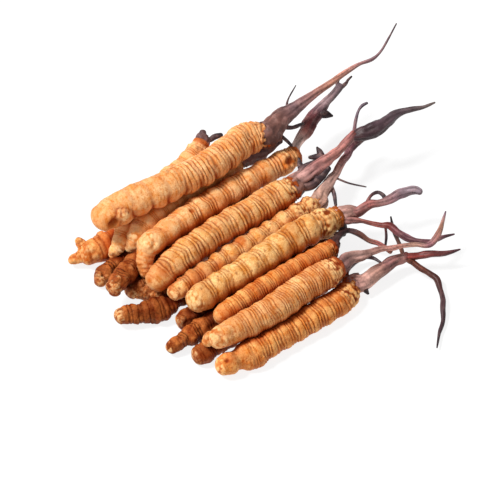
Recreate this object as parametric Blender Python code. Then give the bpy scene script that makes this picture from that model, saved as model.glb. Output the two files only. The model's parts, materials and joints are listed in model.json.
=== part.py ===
"""A bundle of dried cordyceps, lying on its side.

Eighteen dried larvae lie side by side, heads towards +X: nine on the
ground, eight in the hollows above them and one across the top at the back.
A dark, wrinkled stroma grows out of every head and tapers to a point, and
the larger ones fork.

The layout is written in millimetres and turned into metres when a mesh is
made. Larvae are placed one after another: each has a place in plan, and its
height follows from what it comes to rest on.
"""

import math

import bpy
import numpy as np
from mathutils import Vector
from mathutils.bvhtree import BVHTree

MM = 0.001

# ---------------------------------------------------------------- dimensions
GAP = 0.3              # clear space between two pieces that touch

BODY_SIDES = 8         # corners round a larva
BODY_SEGMENTS = 11     # bulges along a larva
CREASE = 0.15          # depth of the crease between bulges, as a share of the radius
CORNERS_OUT = 1.04     # corners lie this much farther out, so that the flat sides match
LUMPS = 0.04           # how far the lumps differ, as a share of the radius
LUMP_WAVE = 2.3        # turn of the lumps' wave from ring to ring, in radians
TAIL_DOME = 0.9        # length of the rounded tail, as a share of its radius
TAIL_RING_OUT = 0.6    # how far out on that dome its one ring lies
TAIL_RING_SIZE = 0.8   # radius of that ring, as a share of the tail's radius
HEAD_DOME = 0.15       # length of the rounded head end, as a share of its radius
SOLE_HEIGHT = 0.55     # a belly lower than this is pressed flat on the ground
REST_STEPS = 61        # points along a larva where it can touch another

STEM_SIDES = 7         # corners round the stem of a stroma
LIMB_SIDES = 6         # corners round a limb beyond a fork
TWIG_SIDES = 5         # corners round a small twig or nub
RING_EVERY = 2.8       # distance between the rings of a stroma
BLUNT_OVER = 0.6       # a stroma ending thicker than this ends blunt, else in a point
BLUNT_DOME = 0.2       # height of a blunt end, as a share of its radius
FLUTE = 0.08           # depth of the lengthwise flutes, as a share of the radius
SHRIVEL = 0.06         # how far shrivelling narrows a stroma, as a share of the radius
SHRIVEL_WAVE = 1.9     # turn of that wave from ring to ring, in radians
SHARP_OVER = 60        # an edge turning more degrees than this is shaded sharp
CURVE_STEPS = 40       # steps of a smooth curve between two given points
PATH_STEP = 0.1        # spacing of the points of a smooth path
ROOT_STEPS = 60        # path points over which a root may be shortened to stay clear
DEEPEST = 3.0          # no point inside a piece is deeper than this
PROBE = (0.31, 0.62, 0.72)  # direction of the ray that tells inside from outside
PROBE_STEP = 1e-5      # how far past a skin that ray goes on


def larva(tail, head, radius, skin="tan", girth=(0.8, 1, 1, 1, 1, 1, 0.95),
          sway=(0, 0), rise=(0, 0)):
    """Return one larva's row: where it lies in plan and how it is bent.

    tail and head are places in plan. sway (to the left) and rise are offsets
    from the straight line between them, and girth is a share of the radius, all
    at even steps from the tail to the head.
    """
    return dict(tail=tail, head=head, radius=radius, skin=skin, girth=girth,
                sway=sway, rise=rise)


# In the order in which they are laid down.
LARVAE = {
    # on the ground, from the front to the back
    "larva_01": larva((0, -0.5), (39, 1), 2.8, "orange", (0.77, 1, 1, 1, 1, 1, 0.8),
                      sway=(0, -0.8, -1.4, -1.8, -1.9, 0)),
    "larva_02": larva((-2, 5.8), (40, 6.5), 2.3, "brown", (0.95, 0.9, 1, 1, 1, 1, 1)),
    "larva_03": larva((-5.2, 12), (35.5, 11.5), 2.4, "brown"),
    "larva_04": larva((1.5, 16.8), (41.5, 16.5), 2.2, "brown"),
    "larva_05": larva((-9, 22), (30.5, 22.5), 2.8, "brown",
                      (0.8, 1, 0.65, 0.65, 0.65, 0.65, 0.65), sway=(4.3, 0, 0, 0)),
    "larva_06": larva((-2, 31.5), (38, 31), 2.3, "brown"),
    "larva_07": larva((-5, 39.3), (37, 41.5), 2.15, "brown"),
    "larva_08": larva((-3.5, 46.8), (38, 47.5), 3.0, "orange",
                      (0.85, 1, 0.95, 0.95, 1, 1, 0.95),
                      sway=(0, -1.6, -0.9, -0.4, 0, 0)),
    "larva_09": larva((-7, 35.5), (35.5, 36.5), 2.3, "brown", sway=(-4, 0, 0, 0)),
    # in the hollows above them, from the front to the back
    "larva_10": larva((1.5, 3.7), (36.7, 4), 3.15, "orange", (0.75, 1, 1, 1, 1, 1, 0.95),
                      sway=(0, -0.5, -0.9, -0.35, 0.1, 0)),
    "larva_11": larva((7, 9.2), (40, 10.1), 2.3, "orange",
                      (1, 1, 1, 1, 1, 1, 0.95), rise=(-1.5, 0, 0, 0)),
    "larva_12": larva((5, 15.7), (46, 16.5), 3.4, "cream",
                      (0.88, 0.97, 1, 1, 1, 1, 0.97),
                      sway=(0, 0, -0.3, 0.3, 0.6, 0), rise=(0, 1.1, 0)),
    "larva_13": larva((2.7, 21.4), (47, 24.5), 2.1, "tan", (0.85, 1, 1, 1, 1, 1, 0.9)),
    "larva_14": larva((1.2, 26.2), (43.5, 30), 3.3, "tan", (0.9, 1, 1, 1, 1, 1, 0.95),
                      sway=(0, 0.5, 0.7, 0.5, 0.2, 0), rise=(-2, 0, 0, 0)),
    "larva_15": larva((4, 33.6), (51, 38.8), 2.9, "cream",
                      (0.9, 1, 1.05, 1, 0.95, 0.95, 0.9),
                      sway=(0, 0.3, 0.7, 0.8, 0.3, 0), rise=(-0.5, 0, 0, 0)),
    "larva_16": larva((1, 44), (34.8, 52.6), 2.3, "tan", (0.6, 0.9, 1, 1, 1, 1, 0.95),
                      sway=(-3, 0, 0, 0), rise=(-4, 0, 0, 2)),
    "larva_17": larva((5, 40.8), (40, 44.8), 2.3, "tan",
                      sway=(-1.6, 0, 0, 0), rise=(-2.5, 0, 0, 0)),
    # across the top at the back
    "larva_18": larva((0, 45), (46.3, 46), 3.5, "tan", (0.95, 1, 1, 1, 1, 1, 0.95),
                      sway=(0, -1.7, -3.2, -3.3, -1.8, -2.6), rise=(-3, 0, 0, 0)),
}

# Small nubs at the tail: points (forward, left, up, radius) from the tail's end.
TAIL_NUBS = {
    "larva_08": [
        [(0, 0.5, 0.5, 1.2), (-0.3, 1.8, 1.8, 1.0), (-0.5, 2.4, 2.8, 0.8)],
        [(-0.5, 0, -0.2, 1.3), (-2.2, 0.6, -0.5, 1.1), (-3.6, 1, -0.8, 0.9)],
    ],
    "larva_15": [
        [(0, 0, -0.5, 1.0), (-1.5, -1, -2, 0.9), (-2.5, -2, -3, 0.8)],
    ],
}

# The stem of each stroma: points (forward, left, up, radius) from the head's end.
STEMS = {
    "stroma_01": [(0.5, 0, 0, 1.9), (2, -1, 0, 1.9), (4, -1, 0, 1.9), (6, -1, 0.5, 1.75),
                  (8.5, -1, 0.5, 1.55), (11, -1, 1, 1.4), (13.5, -1.5, 1, 1.15),
                  (14.5, -2, 1.5, 1.05)],
    "stroma_02": [(0.5, 0, 0, 1.2), (2, 0.5, 0, 1.2), (4.5, 0.5, 0, 0.9), (7, 0, 0, 0.6),
                  (8.5, -1, -0.5, 0.45), (9, -3, -0.5, 0.3)],
    "stroma_03": [(0.5, 0, 0, 1.1), (1.5, 0, 0, 1.1), (4, 0, 0, 0.8), (6.5, -0.5, 0, 0.5)],
    "stroma_04": [(0.5, 0, 0, 1.1), (1.5, 0, 0, 1.1), (4, 0, 0, 0.8), (5.5, -0.5, 0, 0.5)],
    "stroma_05": [(0.5, 0, 0, 1.2), (2.5, 0.5, 0, 1.2), (5.5, 0.5, 0, 0.9), (8.5, 0.5, 0, 0.6),
                  (10.5, 0.5, 0, 0.35)],
    "stroma_06": [(0.5, 0, 0, 1.2), (2.5, 0.5, 0, 1.2), (5, 0.5, 0, 0.9), (8, 0, 0, 0.6),
                  (10.5, 0.5, 0, 0.4)],
    "stroma_07": [(0.5, 0, 0, 1.1), (2.5, 0.5, 0, 1.1), (5, 0.5, 0, 0.85), (8, 0.5, 0, 0.55),
                  (9.5, 0.5, 0, 0.35)],
    "stroma_08": [(0.5, 0, 0, 1.3), (2, -0.5, 0, 1.3), (5, -0.5, 0, 1), (8, -0.5, 0, 0.7),
                  (10, -0.5, 0, 0.4)],
    "stroma_09": [(0.5, 0, 0, 1.1), (2, 0, 0, 1.1), (5, 0, 0, 0.85), (7.5, -0.5, 0, 0.55),
                  (9.5, -0.5, 0, 0.35)],
    "stroma_10": [(0.5, 0, 0, 1.75), (3, 0.5, 0, 1.75), (5, 0.5, 0, 1.5), (7, -0.5, 0, 1.3),
                  (9, -1, 0, 0.95), (11.5, -1.5, 0, 0.65), (14, -2.5, -0.5, 0.65),
                  (16.5, -3.5, -0.5, 0.55), (19, -5, -0.5, 0.55), (20.5, -6.5, -0.5, 0.65),
                  (22, -7, -0.5, 0.8), (24, -6.5, 0, 0.8), (26, -5.5, 0.5, 0.6),
                  (28, -4, 1, 0.4), (29.5, -3, 2, 0.2)],
    "stroma_11": [(0.5, 0, 0, 1.4), (2, 1, 0, 1.4), (3.5, 2, 0, 1.2), (5.5, 2.5, -0.5, 0.8),
                  (7, 2.5, -1, 0.65), (8.5, 0.5, -1.5, 0.7), (9.5, -1.5, -2.5, 0.6),
                  (11, -3.5, -3, 0.6), (12.5, -6, -4.5, 0.6)],
    "stroma_12": [(0.5, 0, 0, 1.6), (3, -0.5, 0.5, 1.6), (4.5, -1.5, 0.5, 1.3)],
    "stroma_13": [(0.5, 0, 0, 1.9), (2, 1, 0.5, 1.9), (4.5, 2, 1, 1.8), (6.5, 3, 1, 1.4),
                  (8.5, 4, 1, 1), (11, 5.5, 1.5, 0.95), (13.5, 6.5, 1.5, 0.95),
                  (15.5, 7.5, 1.5, 1), (18, 8, 1.5, 0.9), (20.5, 8, 1.5, 0.5)],
    "stroma_14": [(0.5, 0, 0, 2.3), (2, 0.5, 0, 2.3), (4, 0.5, 0.5, 2.1), (6.5, 0.5, 1, 1.9),
                  (9, 0.5, 1.5, 1.6), (11.5, 0.5, 2, 1.35), (14, 0.5, 2.5, 1.15),
                  (17, 1, 3.5, 1.15), (19.5, 1.5, 4, 1.1)],
    "stroma_15": [(0.5, 0, 0, 1.7), (3.5, 2, 0.5, 1.7), (6, 3, 1.5, 1.75), (8.5, 4.5, 2, 1.75),
                  (11.5, 5.5, 2.5, 1.6), (14, 6, 3.5, 1.2), (16.5, 6.5, 4, 1.05),
                  (19.5, 7.5, 4.5, 0.9)],
    "stroma_16": [(0.5, 0, 0, 1.3), (1.5, 1.5, 0.5, 1.5), (2, 2, 1, 0.9)],
    "stroma_17": [(0.5, 0, 0, 1.4), (4, -1, 0, 1.3), (6, -0.5, 0.5, 1.2), (8.5, -1, 0.5, 1),
                  (10.5, -1.5, 0.5, 0.8)],
    "stroma_18": [(0.5, 0, 0, 2.7), (5, 1, 0.5, 2.3), (8, 1, 1, 1.8), (11, 1, 2, 1.3),
                  (14, 1, 2.5, 1), (19.5, 0.5, 4, 0.8), (22.5, 0.5, 4.5, 0.7),
                  (27, 0, 5.5, 0.5), (30.5, -1, 6, 0.42), (33, -1, 7, 0.3), (36, 0, 8.5, 0.25),
                  (39.5, 1.5, 10.5, 0.2)],
}

# Limbs beyond a main fork, from the same head's end: (stem, points).
LIMBS = {
    "stroma_01_upper_limb": ("stroma_01", [
        (15, -2.5, 1.5, 1), (17, -3.5, 1.5, 0.9), (19, -5, 2, 0.8), (21, -6.5, 2, 0.7),
        (23, -7.5, 2, 0.55), (25, -8.5, 2.5, 0.2)]),
    "stroma_01_lower_limb": ("stroma_01", [
        (14.5, -3, 1, 0.75), (15, -3.5, 0.5, 0.75), (15.5, -5.5, 0, 0.75),
        (16.5, -8, -0.5, 0.75), (17, -10, -1, 0.75), (16, -12.5, -1.5, 0.7),
        (14.5, -15.5, -1.5, 0.68), (12.5, -18, -1.5, 0.62), (10.5, -20.5, -2, 0.55),
        (7.5, -23, -2, 0.42), (4.5, -26, -2, 0.2)]),
    "stroma_01_back_limb": ("stroma_01", [
        (14.5, -0.5, 1, 0.5), (15.5, 1.5, 0.5, 0.55), (16.5, 4, 0.5, 0.5), (18, 7.5, 0, 0.4),
        (20, 11, 0, 0.25)]),
    "stroma_12_upper_limb": ("stroma_12", [
        (5, -2, 0.5, 1.25), (8, -2.5, 1.5, 1.15), (10, -3.5, 1.5, 1), (12, -4.5, 2, 1.1),
        (15, -5, 2.5, 1.25), (17, -6, 3, 1.1), (18, -7, 3.5, 1.05), (18.5, -8, 3.5, 0.8)]),
    "stroma_12_lower_limb": ("stroma_12", [
        (1.5, -2, 0, 1), (3, -2.5, -0.5, 0.9), (4.5, -4, -0.5, 0.6), (6, -5.5, -1, 0.55),
        (7.5, -7.5, -1, 0.65), (9, -9, -1, 0.85), (9.5, -11.5, -1.5, 0.9),
        (10.5, -14, -2, 0.85), (12, -16, -2, 0.6), (14.5, -17.5, -2.5, 0.5),
        (17, -18, -2.5, 0.55), (20, -19, -2.5, 0.2)]),
    "stroma_14_thin_limb": ("stroma_14", [
        (20, 2, 4, 0.5), (22, 4, 4.5, 0.4), (24, 5.5, 5.5, 0.35), (25.5, 6, 6, 0.4),
        (27, 6, 6, 0.3)]),
    "stroma_14_main_limb": ("stroma_14", [
        (20.5, 1.5, 4, 1.1), (22.5, 0.5, 4, 1.7), (25.5, -0.5, 4.5, 1.45), (28, -0.5, 5, 1.2),
        (31, -0.5, 5.5, 0.8), (34, -1.5, 5.5, 0.6), (36.5, -3, 6, 0.5), (39.5, -3.5, 6, 0.25)]),
    "stroma_15_left_limb": ("stroma_15", [
        (19.5, 7.5, 4.5, 0.55), (19.5, 8.5, 5, 0.5), (20.5, 9, 5.5, 0.4)]),
    "stroma_15_right_limb": ("stroma_15", [
        (19.5, 7, 4.5, 0.5), (21, 7, 5, 0.45), (22, 7.5, 5, 0.35), (23, 7.5, 5.5, 0.25)]),
}

# Small twigs, fused to what they grow from: (stem or limb, points).
TWIGS = [
    ("stroma_18", [(7, 2, 1, 0.3), (9.5, 4, 2, 0.25), (13, 5.5, 3.5, 0.15)]),
    ("stroma_18", [(4, -1, 0, 0.5), (6.5, -1, -1, 0.4), (10, -1, -2, 0.3)]),
    ("stroma_18", [(3, -1.5, -0.5, 0.55), (3.5, -3, -1.5, 0.45), (4, -4.5, -2.5, 0.35)]),
    ("stroma_15", [(11.5, 5, 3, 1), (12.5, 3, 3, 0.8), (13.5, 2, 3, 0.5)]),
    ("stroma_14", [(5, 2, 1, 0.5), (5.5, 3.5, 1.5, 0.4), (6, 5, 2, 0.3)]),
    ("stroma_14", [(11, 1, 2, 0.5), (10, 2.5, 2, 0.5), (8, 3.5, 2.5, 0.3)]),
    ("stroma_14", [(10, 2, 2, 0.45), (11, 3, 2.5, 0.4), (11, 4.5, 3, 0.3)]),
    ("stroma_14", [(5.5, -1, 0.5, 0.7), (6.5, -2, 0.5, 0.5), (8, -2.5, 0.5, 0.2)]),
    ("stroma_13", [(7.5, 2.5, 1, 0.3), (9, 0, 0.5, 0.25), (11.5, -3.5, 0.5, 0.15)]),
    ("stroma_13", [(6, 1.5, 0.5, 0.5), (4.5, -0.5, 0, 0.5), (3, -3, -0.5, 0.4)]),
    ("stroma_12_upper_limb", [(7, -2, 1.5, 0.5), (9.5, -1, 2, 0.4), (11.5, -1, 2, 0.45),
                              (12, -2.5, 2, 0.5), (11.5, -4, 2, 0.5)]),
    ("stroma_12_lower_limb", [(8, -8.5, -1, 0.35), (7.5, -9.5, -3, 0.32),
                              (6.5, -10.5, -4.5, 0.3)]),
    ("stroma_01", [(2, -1.5, -0.5, 1), (2, -2.5, -1, 0.7), (2, -3.5, -1.5, 0.3)]),
    ("stroma_16", [(1, 1, 0.5, 0.8), (2.5, 0, 0, 0.7), (4, 0, 0, 0.7), (5.5, -0.5, 0, 0.5)]),
]

# Finishes: base colour, roughness.
SKINS = {
    "orange": ("dried_skin_orange", (0.63, 0.28, 0.09), 0.6),
    "tan": ("dried_skin_tan", (0.68, 0.35, 0.13), 0.6),
    "cream": ("dried_skin_cream", (0.76, 0.48, 0.21), 0.65),
    "brown": ("dried_skin_brown", (0.36, 0.14, 0.05), 0.65),
    "stroma": ("stroma_purple_brown", (0.16, 0.09, 0.09), 0.7),
    "stroma_dark": ("stroma_blackish", (0.04, 0.025, 0.025), 0.7),
    "stroma_red": ("stroma_red_brown", (0.2, 0.06, 0.045), 0.65),
}
LIMB_SKINS = {
    "stroma_01_upper_limb": "stroma_red",
    "stroma_01_lower_limb": "stroma_dark",
    "stroma_01_back_limb": "stroma_dark",
    "stroma_12_lower_limb": "stroma_red",
    "stroma_14_main_limb": "stroma_dark",
    "stroma_11": "stroma_dark",
    "stroma_02": "stroma_dark",
}


# -------------------------------------------------------------------- layout
def body_radii(row, along):
    """Radius along a larva."""
    steps = np.linspace(0, 1, len(row["girth"]))
    return row["radius"] * np.interp(along, steps, row["girth"])


def bend(values, along):
    """A smooth curve through values that are evenly spaced along a larva."""
    steps = np.linspace(0, 1, len(values))
    curve = np.polyfit(steps, values, len(values) - 1)
    return np.polyval(curve, along)


def body_line(row, along):
    """Plan places of a larva's middle line, and how far each is lifted."""
    tail = np.array(row["tail"], float)
    axis = np.array(row["head"], float) - tail
    left = np.array([-axis[1], axis[0]]) / np.hypot(*axis)
    plan = tail + along[:, None] * axis + bend(row["sway"], along)[:, None] * left
    return plan, bend(row["rise"], along)


def lowest_heights(plan, lift, radii, laid):
    """Lowest height at each step that clears the ground and the ones laid before."""
    lowest = radii - lift
    for other_line, other_radii in laid:
        apart = plan[:, None, :] - other_line[None, :, :2]
        apart = (apart ** 2).sum(axis=2)
        reach = radii[:, None] + other_radii[None, :] + GAP
        over = np.sqrt(np.clip(reach ** 2 - apart, 0, None))
        top = np.where(apart < reach ** 2, other_line[None, :, 2] + over, -np.inf)
        lowest = np.maximum(lowest, top.max(axis=1) - lift)
    return lowest


def resting_line(lowest):
    """The straight line, over all lowest heights, that bears on both sides of the middle.

    It is the edge of their upper hull that spans the middle, as a rigid rod
    comes to rest on the two highest supports on either side of its weight.
    """
    hull = []
    for step, height in enumerate(lowest):
        while len(hull) > 1:
            first, last = hull[-2], hull[-1]
            rise_to_last = (lowest[last] - lowest[first]) * (step - first)
            rise_to_step = (height - lowest[first]) * (last - first)
            if rise_to_last > rise_to_step:
                break
            hull.pop()
        hull.append(step)
    middle = (len(lowest) - 1) / 2
    for first, last in zip(hull, hull[1:]):
        if last >= middle:
            break
    slope = (lowest[last] - lowest[first]) / (last - first)
    return lowest[first] + slope * (np.arange(len(lowest)) - first)


def lay_down():
    """Lay every larva in turn and return its middle line and radii."""
    along = np.linspace(0, 1, REST_STEPS)
    laid = {}
    for name, row in LARVAE.items():
        plan, lift = body_line(row, along)
        radii = body_radii(row, along)
        lowest = lowest_heights(plan, lift, radii, laid.values())
        height = resting_line(lowest) + lift
        laid[name] = (np.column_stack([plan, height]), radii)
    return laid


# --------------------------------------------------------------------- paths
def smooth_path(points, step=PATH_STEP):
    """Points every step along a smooth curve through the given ones, with radii."""
    points = np.array(points, float)
    padded = np.vstack([2 * points[0] - points[1], points, 2 * points[-1] - points[-2]])
    t = np.linspace(0, 1, CURVE_STEPS, endpoint=False)[:, None]
    pieces = []
    for a, b, c, d in zip(padded, padded[1:], padded[2:], padded[3:]):
        pieces.append(0.5 * (2 * b + (c - a) * t + (2 * a - 5 * b + 4 * c - d) * t ** 2
                             + (3 * b - a - 3 * c + d) * t ** 3))
    pieces.append(points[-1:])
    dense = np.vstack(pieces)
    run = path_length(dense)
    even = np.linspace(0, run[-1], max(2, int(run[-1] / step) + 1))
    return np.column_stack([np.interp(even, run, column) for column in dense.T])


def path_length(points):
    """Distance along a path at each of its points."""
    steps = np.linalg.norm(np.diff(points[:, :3], axis=0), axis=1)
    return np.concatenate([[0], np.cumsum(steps)])


def frames(line):
    """Two directions across a path at each point, turning with it as little as can be."""
    forward = np.gradient(line, axis=0)
    forward /= np.linalg.norm(forward, axis=1)[:, None]
    across = np.cross(forward[0], (0, 0, 1))
    left = [across / np.linalg.norm(across)]
    for direction in forward[1:]:
        across = left[-1] - direction * left[-1].dot(direction)
        left.append(across / np.linalg.norm(across))
    left = np.array(left)
    return left, np.cross(left, forward)


def rings(line, radii, sides, flute=0.0):
    """Corner points of rings round a path: array (ring, corner, xyz)."""
    across, up = frames(line)
    corner = np.arange(sides)
    angle = -math.pi / 2 + (corner + 0.5) * 2 * math.pi / sides
    size = radii[:, None] * (1 - flute * (corner % 2))[None, :]
    return (line[:, None, :] + (size * np.cos(angle))[..., None] * across[:, None, :]
            + (size * np.sin(angle))[..., None] * up[:, None, :])


def closed_skin(ring_points, first_pole, last_pole):
    """Vertices and faces of a closed tube over rings, with a pole at each end."""
    count, sides = ring_points.shape[:2]
    vertices = np.vstack([ring_points.reshape(-1, 3), first_pole, last_pole])
    first, last = count * sides, count * sides + 1
    faces = []
    for ring in range(count - 1):
        for corner in range(sides):
            beside = (corner + 1) % sides
            low, high = ring * sides, (ring + 1) * sides
            faces.append((low + corner, high + corner, high + beside, low + beside))
    for corner in range(sides):
        beside = (corner + 1) % sides
        faces.append((first, corner, beside))
        faces.append((last, (count - 1) * sides + beside, (count - 1) * sides + corner))
    return vertices, faces


# ----------------------------------------------------------------- materials
def finish(key):
    """Material of one finish, made when it is first asked for."""
    name, colour, roughness = SKINS[key]
    material = bpy.data.materials.get(name)
    if material is None:
        material = bpy.data.materials.new(name)
        material.use_nodes = True
        shader = material.node_tree.nodes["Principled BSDF"]
        shader.inputs["Base Color"].default_value = (*colour, 1)
        shader.inputs["Roughness"].default_value = roughness
        shader.inputs["Metallic"].default_value = 0.0
        material.diffuse_color = (*colour, 1)
    return material


def dress(piece, key):
    """Give a piece its one finish, and shade its round sides smooth."""
    piece.data.materials.clear()
    piece.data.materials.append(finish(key))
    piece.data.shade_smooth()
    piece.data.set_sharp_from_angle(angle=math.radians(SHARP_OVER))


# -------------------------------------------------------------------- pieces
def add_piece(name, skin, root, parent):
    """Make an object from a skin in millimetres, with its origin at root."""
    vertices, faces = skin
    mesh = bpy.data.meshes.new(name)
    mesh.from_pydata(((vertices - root) * MM).tolist(), [], faces)
    piece = bpy.data.objects.new(name, mesh)
    piece.location = Vector(root * MM)
    piece.parent = parent
    bpy.context.scene.collection.objects.link(piece)
    return piece


def fuse(piece, lumps):
    """Join closed skins to a piece, as one closed outside."""
    root = np.array(piece.location) / MM
    for lump in lumps:
        extra = add_piece("lump", lump, root, piece.parent)
        join = piece.modifiers.new("join", "BOOLEAN")
        join.operation = "UNION"
        join.solver = "EXACT"
        join.object = extra
        bpy.context.view_layer.update()
        seen = piece.evaluated_get(bpy.context.evaluated_depsgraph_get())
        joined = bpy.data.meshes.new_from_object(seen)
        piece.modifiers.clear()
        piece.data = joined
        bpy.data.objects.remove(extra, do_unlink=True)


def body_skin(row, line, radii):
    """Outside of a larva: bulging segments, a round tail and a blunt head."""
    ring_count = 2 * BODY_SEGMENTS + 1
    at = np.linspace(0, REST_STEPS - 1, ring_count)
    centres = np.column_stack([np.interp(at, np.arange(REST_STEPS), c) for c in line.T])
    sizes = np.interp(at, np.arange(REST_STEPS), radii)
    ring = np.arange(ring_count)
    sizes = sizes * np.where(ring % 2 == 0, 1 - CREASE, 1)
    lump = (1 + np.sin(LUMP_WAVE * ring + row["head"][0])) / 2
    sizes *= CORNERS_OUT * (1 - LUMPS * lump)
    tail_way = (centres[0] - centres[1]) / np.linalg.norm(centres[0] - centres[1])
    head_way = (centres[-1] - centres[-2]) / np.linalg.norm(centres[-1] - centres[-2])
    tail_ring = centres[0] + tail_way * TAIL_RING_OUT * TAIL_DOME * radii[0]
    centres = np.vstack([tail_ring, centres])
    sizes = np.concatenate([[TAIL_RING_SIZE * radii[0]], sizes])
    points = rings(centres, sizes, BODY_SIDES)
    points[..., 2] = np.where(points[..., 2] < SOLE_HEIGHT, 0, points[..., 2])
    tail_pole = centres[1] + tail_way * TAIL_DOME * radii[0]
    head_pole = centres[-1] + head_way * HEAD_DOME * radii[-1]
    return closed_skin(points, tail_pole, head_pole)


def stroma_skin(path, sides):
    """Outside of a stem, limb or twig along a path of points with radii."""
    run = path_length(path)
    count = max(3, int(round(run[-1] / RING_EVERY)) + 1)
    blunt = path[-1, 3] > BLUNT_OVER
    where = np.linspace(0, run[-1], count + 1)
    if not blunt:
        where = where[:-1]
    spot = np.column_stack([np.interp(where, run, column) for column in path.T])
    ring = np.arange(len(spot))
    narrowing = (1 + np.sin(SHRIVEL_WAVE * ring + run[-1])) / 2
    sizes = spot[:, 3] * (1 - SHRIVEL * narrowing)
    points = rings(spot[:, :3], sizes, sides, FLUTE if sides > TWIG_SIDES else 0)
    tip = path[-1, :3]
    if blunt:
        ahead = path[-1, :3] - path[-2, :3]
        tip = tip + ahead / np.linalg.norm(ahead) * BLUNT_DOME * path[-1, 3]
    return closed_skin(points, spot[0, :3], tip)


def is_inside(point, tree):
    """Whether a point is inside a closed piece: a ray out of it meets the skin oddly often."""
    way = Vector(PROBE).normalized()
    start = Vector(point)
    crossings = 0
    while True:
        hit = tree.ray_cast(start, way)[0]
        if hit is None:
            return crossings % 2 == 1
        crossings += 1
        start = hit + way * PROBE_STEP


def is_clear(points, trees):
    """Whether all points lie outside the given pieces, a gap or more away."""
    for tree in trees:
        for point in points:
            distance = tree.find_nearest(Vector(point))[3]
            if distance < GAP or (distance < DEEPEST and is_inside(point, tree)):
                return False
    return True


def grow_clear(path, sides, trees):
    """Shorten a path at its root until every ring over it is clear of the pieces."""
    around = rings(path[:, :3], path[:, 3], 2 * sides)
    halfway = rings(path[:, :3], path[:, 3] / 2, sides)
    start = 0
    for step in range(min(len(path) // 2, ROOT_STEPS)):
        if not is_clear([*around[step], *halfway[step], path[step, :3]], trees):
            start = step + 1
    return path[start:]


def touching_tree(skin):
    """Search tree over a skin, for finding how far a point is from it."""
    vertices, faces = skin
    return BVHTree.FromPolygons(vertices.tolist(), faces)


def from_head(head, points):
    """Turn points given from a head's end into points of the bundle."""
    points = np.array(points, float)
    points[:, :3] += head
    return points


def twig_skin(head, points, path):
    """Outside of a twig that starts on the middle line of what it grows from."""
    points = from_head(head, points)
    near = np.linalg.norm(path[:, :3] - points[0, :3], axis=1).argmin()
    points[0, :3] = path[near, :3]
    return stroma_skin(smooth_path(points), TWIG_SIDES)


# ------------------------------------------------------------------ assembly
def clear_file():
    """Remove every object that the file opens with."""
    for item in list(bpy.data.objects):
        bpy.data.objects.remove(item, do_unlink=True)


def build_bodies(laid, bundle):
    """Make the larvae, and return each one's search tree."""
    trees = {}
    for name, (line, radii) in laid.items():
        row = LARVAE[name]
        skin = body_skin(row, line, radii)
        trees[name] = touching_tree(skin)
        piece = add_piece(name, skin, line[0], bundle)
        nubs = [stroma_skin(smooth_path(from_head(line[0], nub)), TWIG_SIDES)
                for nub in TAIL_NUBS.get(name, [])]
        fuse(piece, nubs)
        dress(piece, row["skin"])
    return trees


def build_stromata(laid, trees, bundle):
    """Make each stem, the limbs beyond its forks, and the twigs fused to them."""
    plans = [(stem, stem, points, STEM_SIDES) for stem, points in STEMS.items()]
    plans += [(limb, stem, points, LIMB_SIDES) for limb, (stem, points) in LIMBS.items()]
    for name, stem, points, sides in plans:
        body = stem.replace("stroma", "larva")
        head = laid[body][0][-1]
        family = [tree for key, tree in trees.items() if key == body or key.startswith(stem)]
        path = grow_clear(smooth_path(from_head(head, points)), sides, family)
        skin = stroma_skin(path, sides)
        trees[name] = touching_tree(skin)
        piece = add_piece(name, skin, path[0, :3], bundle)
        twigs = [twig_skin(head, twig, path) for owner, twig in TWIGS if owner == name]
        fuse(piece, twigs)
        dress(piece, LIMB_SKINS.get(name, "stroma"))


def centre_on_ground(bundle):
    """Move the bundle so that the middle of its underside is the origin."""
    bpy.context.view_layer.update()
    corners = np.array([piece.matrix_world @ Vector(corner)
                        for piece in bundle.children for corner in piece.bound_box])
    low, high = corners.min(axis=0), corners.max(axis=0)
    middle = (low + high) / 2
    bundle.location = (-middle[0], -middle[1], -low[2])
    bpy.context.view_layer.update()


def main():
    """Build the whole bundle."""
    clear_file()
    bundle = bpy.data.objects.new("bundle", None)
    bpy.context.scene.collection.objects.link(bundle)
    laid = lay_down()
    trees = build_bodies(laid, bundle)
    build_stromata(laid, trees, bundle)
    centre_on_ground(bundle)


main()
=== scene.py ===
"""A bundle of dried cordyceps: eighteen wrinkled larvae, each with its dark stroma.

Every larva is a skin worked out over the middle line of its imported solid, and
every stroma is a wrinkled tube along the route of its solid. Lengths are in
millimetres until a mesh is made.
"""

import json
import math
from dataclasses import dataclass
from itertools import product

import bpy
import numpy as np
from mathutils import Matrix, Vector


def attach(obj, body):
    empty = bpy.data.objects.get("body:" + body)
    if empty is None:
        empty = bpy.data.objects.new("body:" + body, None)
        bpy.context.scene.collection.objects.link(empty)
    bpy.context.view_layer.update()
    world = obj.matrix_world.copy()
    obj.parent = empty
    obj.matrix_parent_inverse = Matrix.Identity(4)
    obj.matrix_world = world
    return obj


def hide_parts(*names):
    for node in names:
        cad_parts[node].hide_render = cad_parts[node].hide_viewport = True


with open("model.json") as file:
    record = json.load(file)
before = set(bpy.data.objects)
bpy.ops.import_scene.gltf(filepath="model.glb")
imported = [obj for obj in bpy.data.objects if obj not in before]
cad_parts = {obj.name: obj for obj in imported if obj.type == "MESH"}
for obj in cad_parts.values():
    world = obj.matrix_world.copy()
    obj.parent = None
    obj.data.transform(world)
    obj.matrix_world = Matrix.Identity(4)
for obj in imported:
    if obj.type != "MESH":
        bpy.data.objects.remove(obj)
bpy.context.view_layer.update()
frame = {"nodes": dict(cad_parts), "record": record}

RECORD_SLOTS = {part["node"]: part["material_slot"] for part in frame["record"]["subparts"]}
MM = 0.001

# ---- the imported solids
SOLID_SIDES = 8           # corners round a larva's solid
SOLID_RINGS = 22          # its whole rings, from the head; the 23rd may be cut by a nub
SOLID_CORNERS_OUT = 1.04  # its corners lie this much outside the larva's radius

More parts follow.
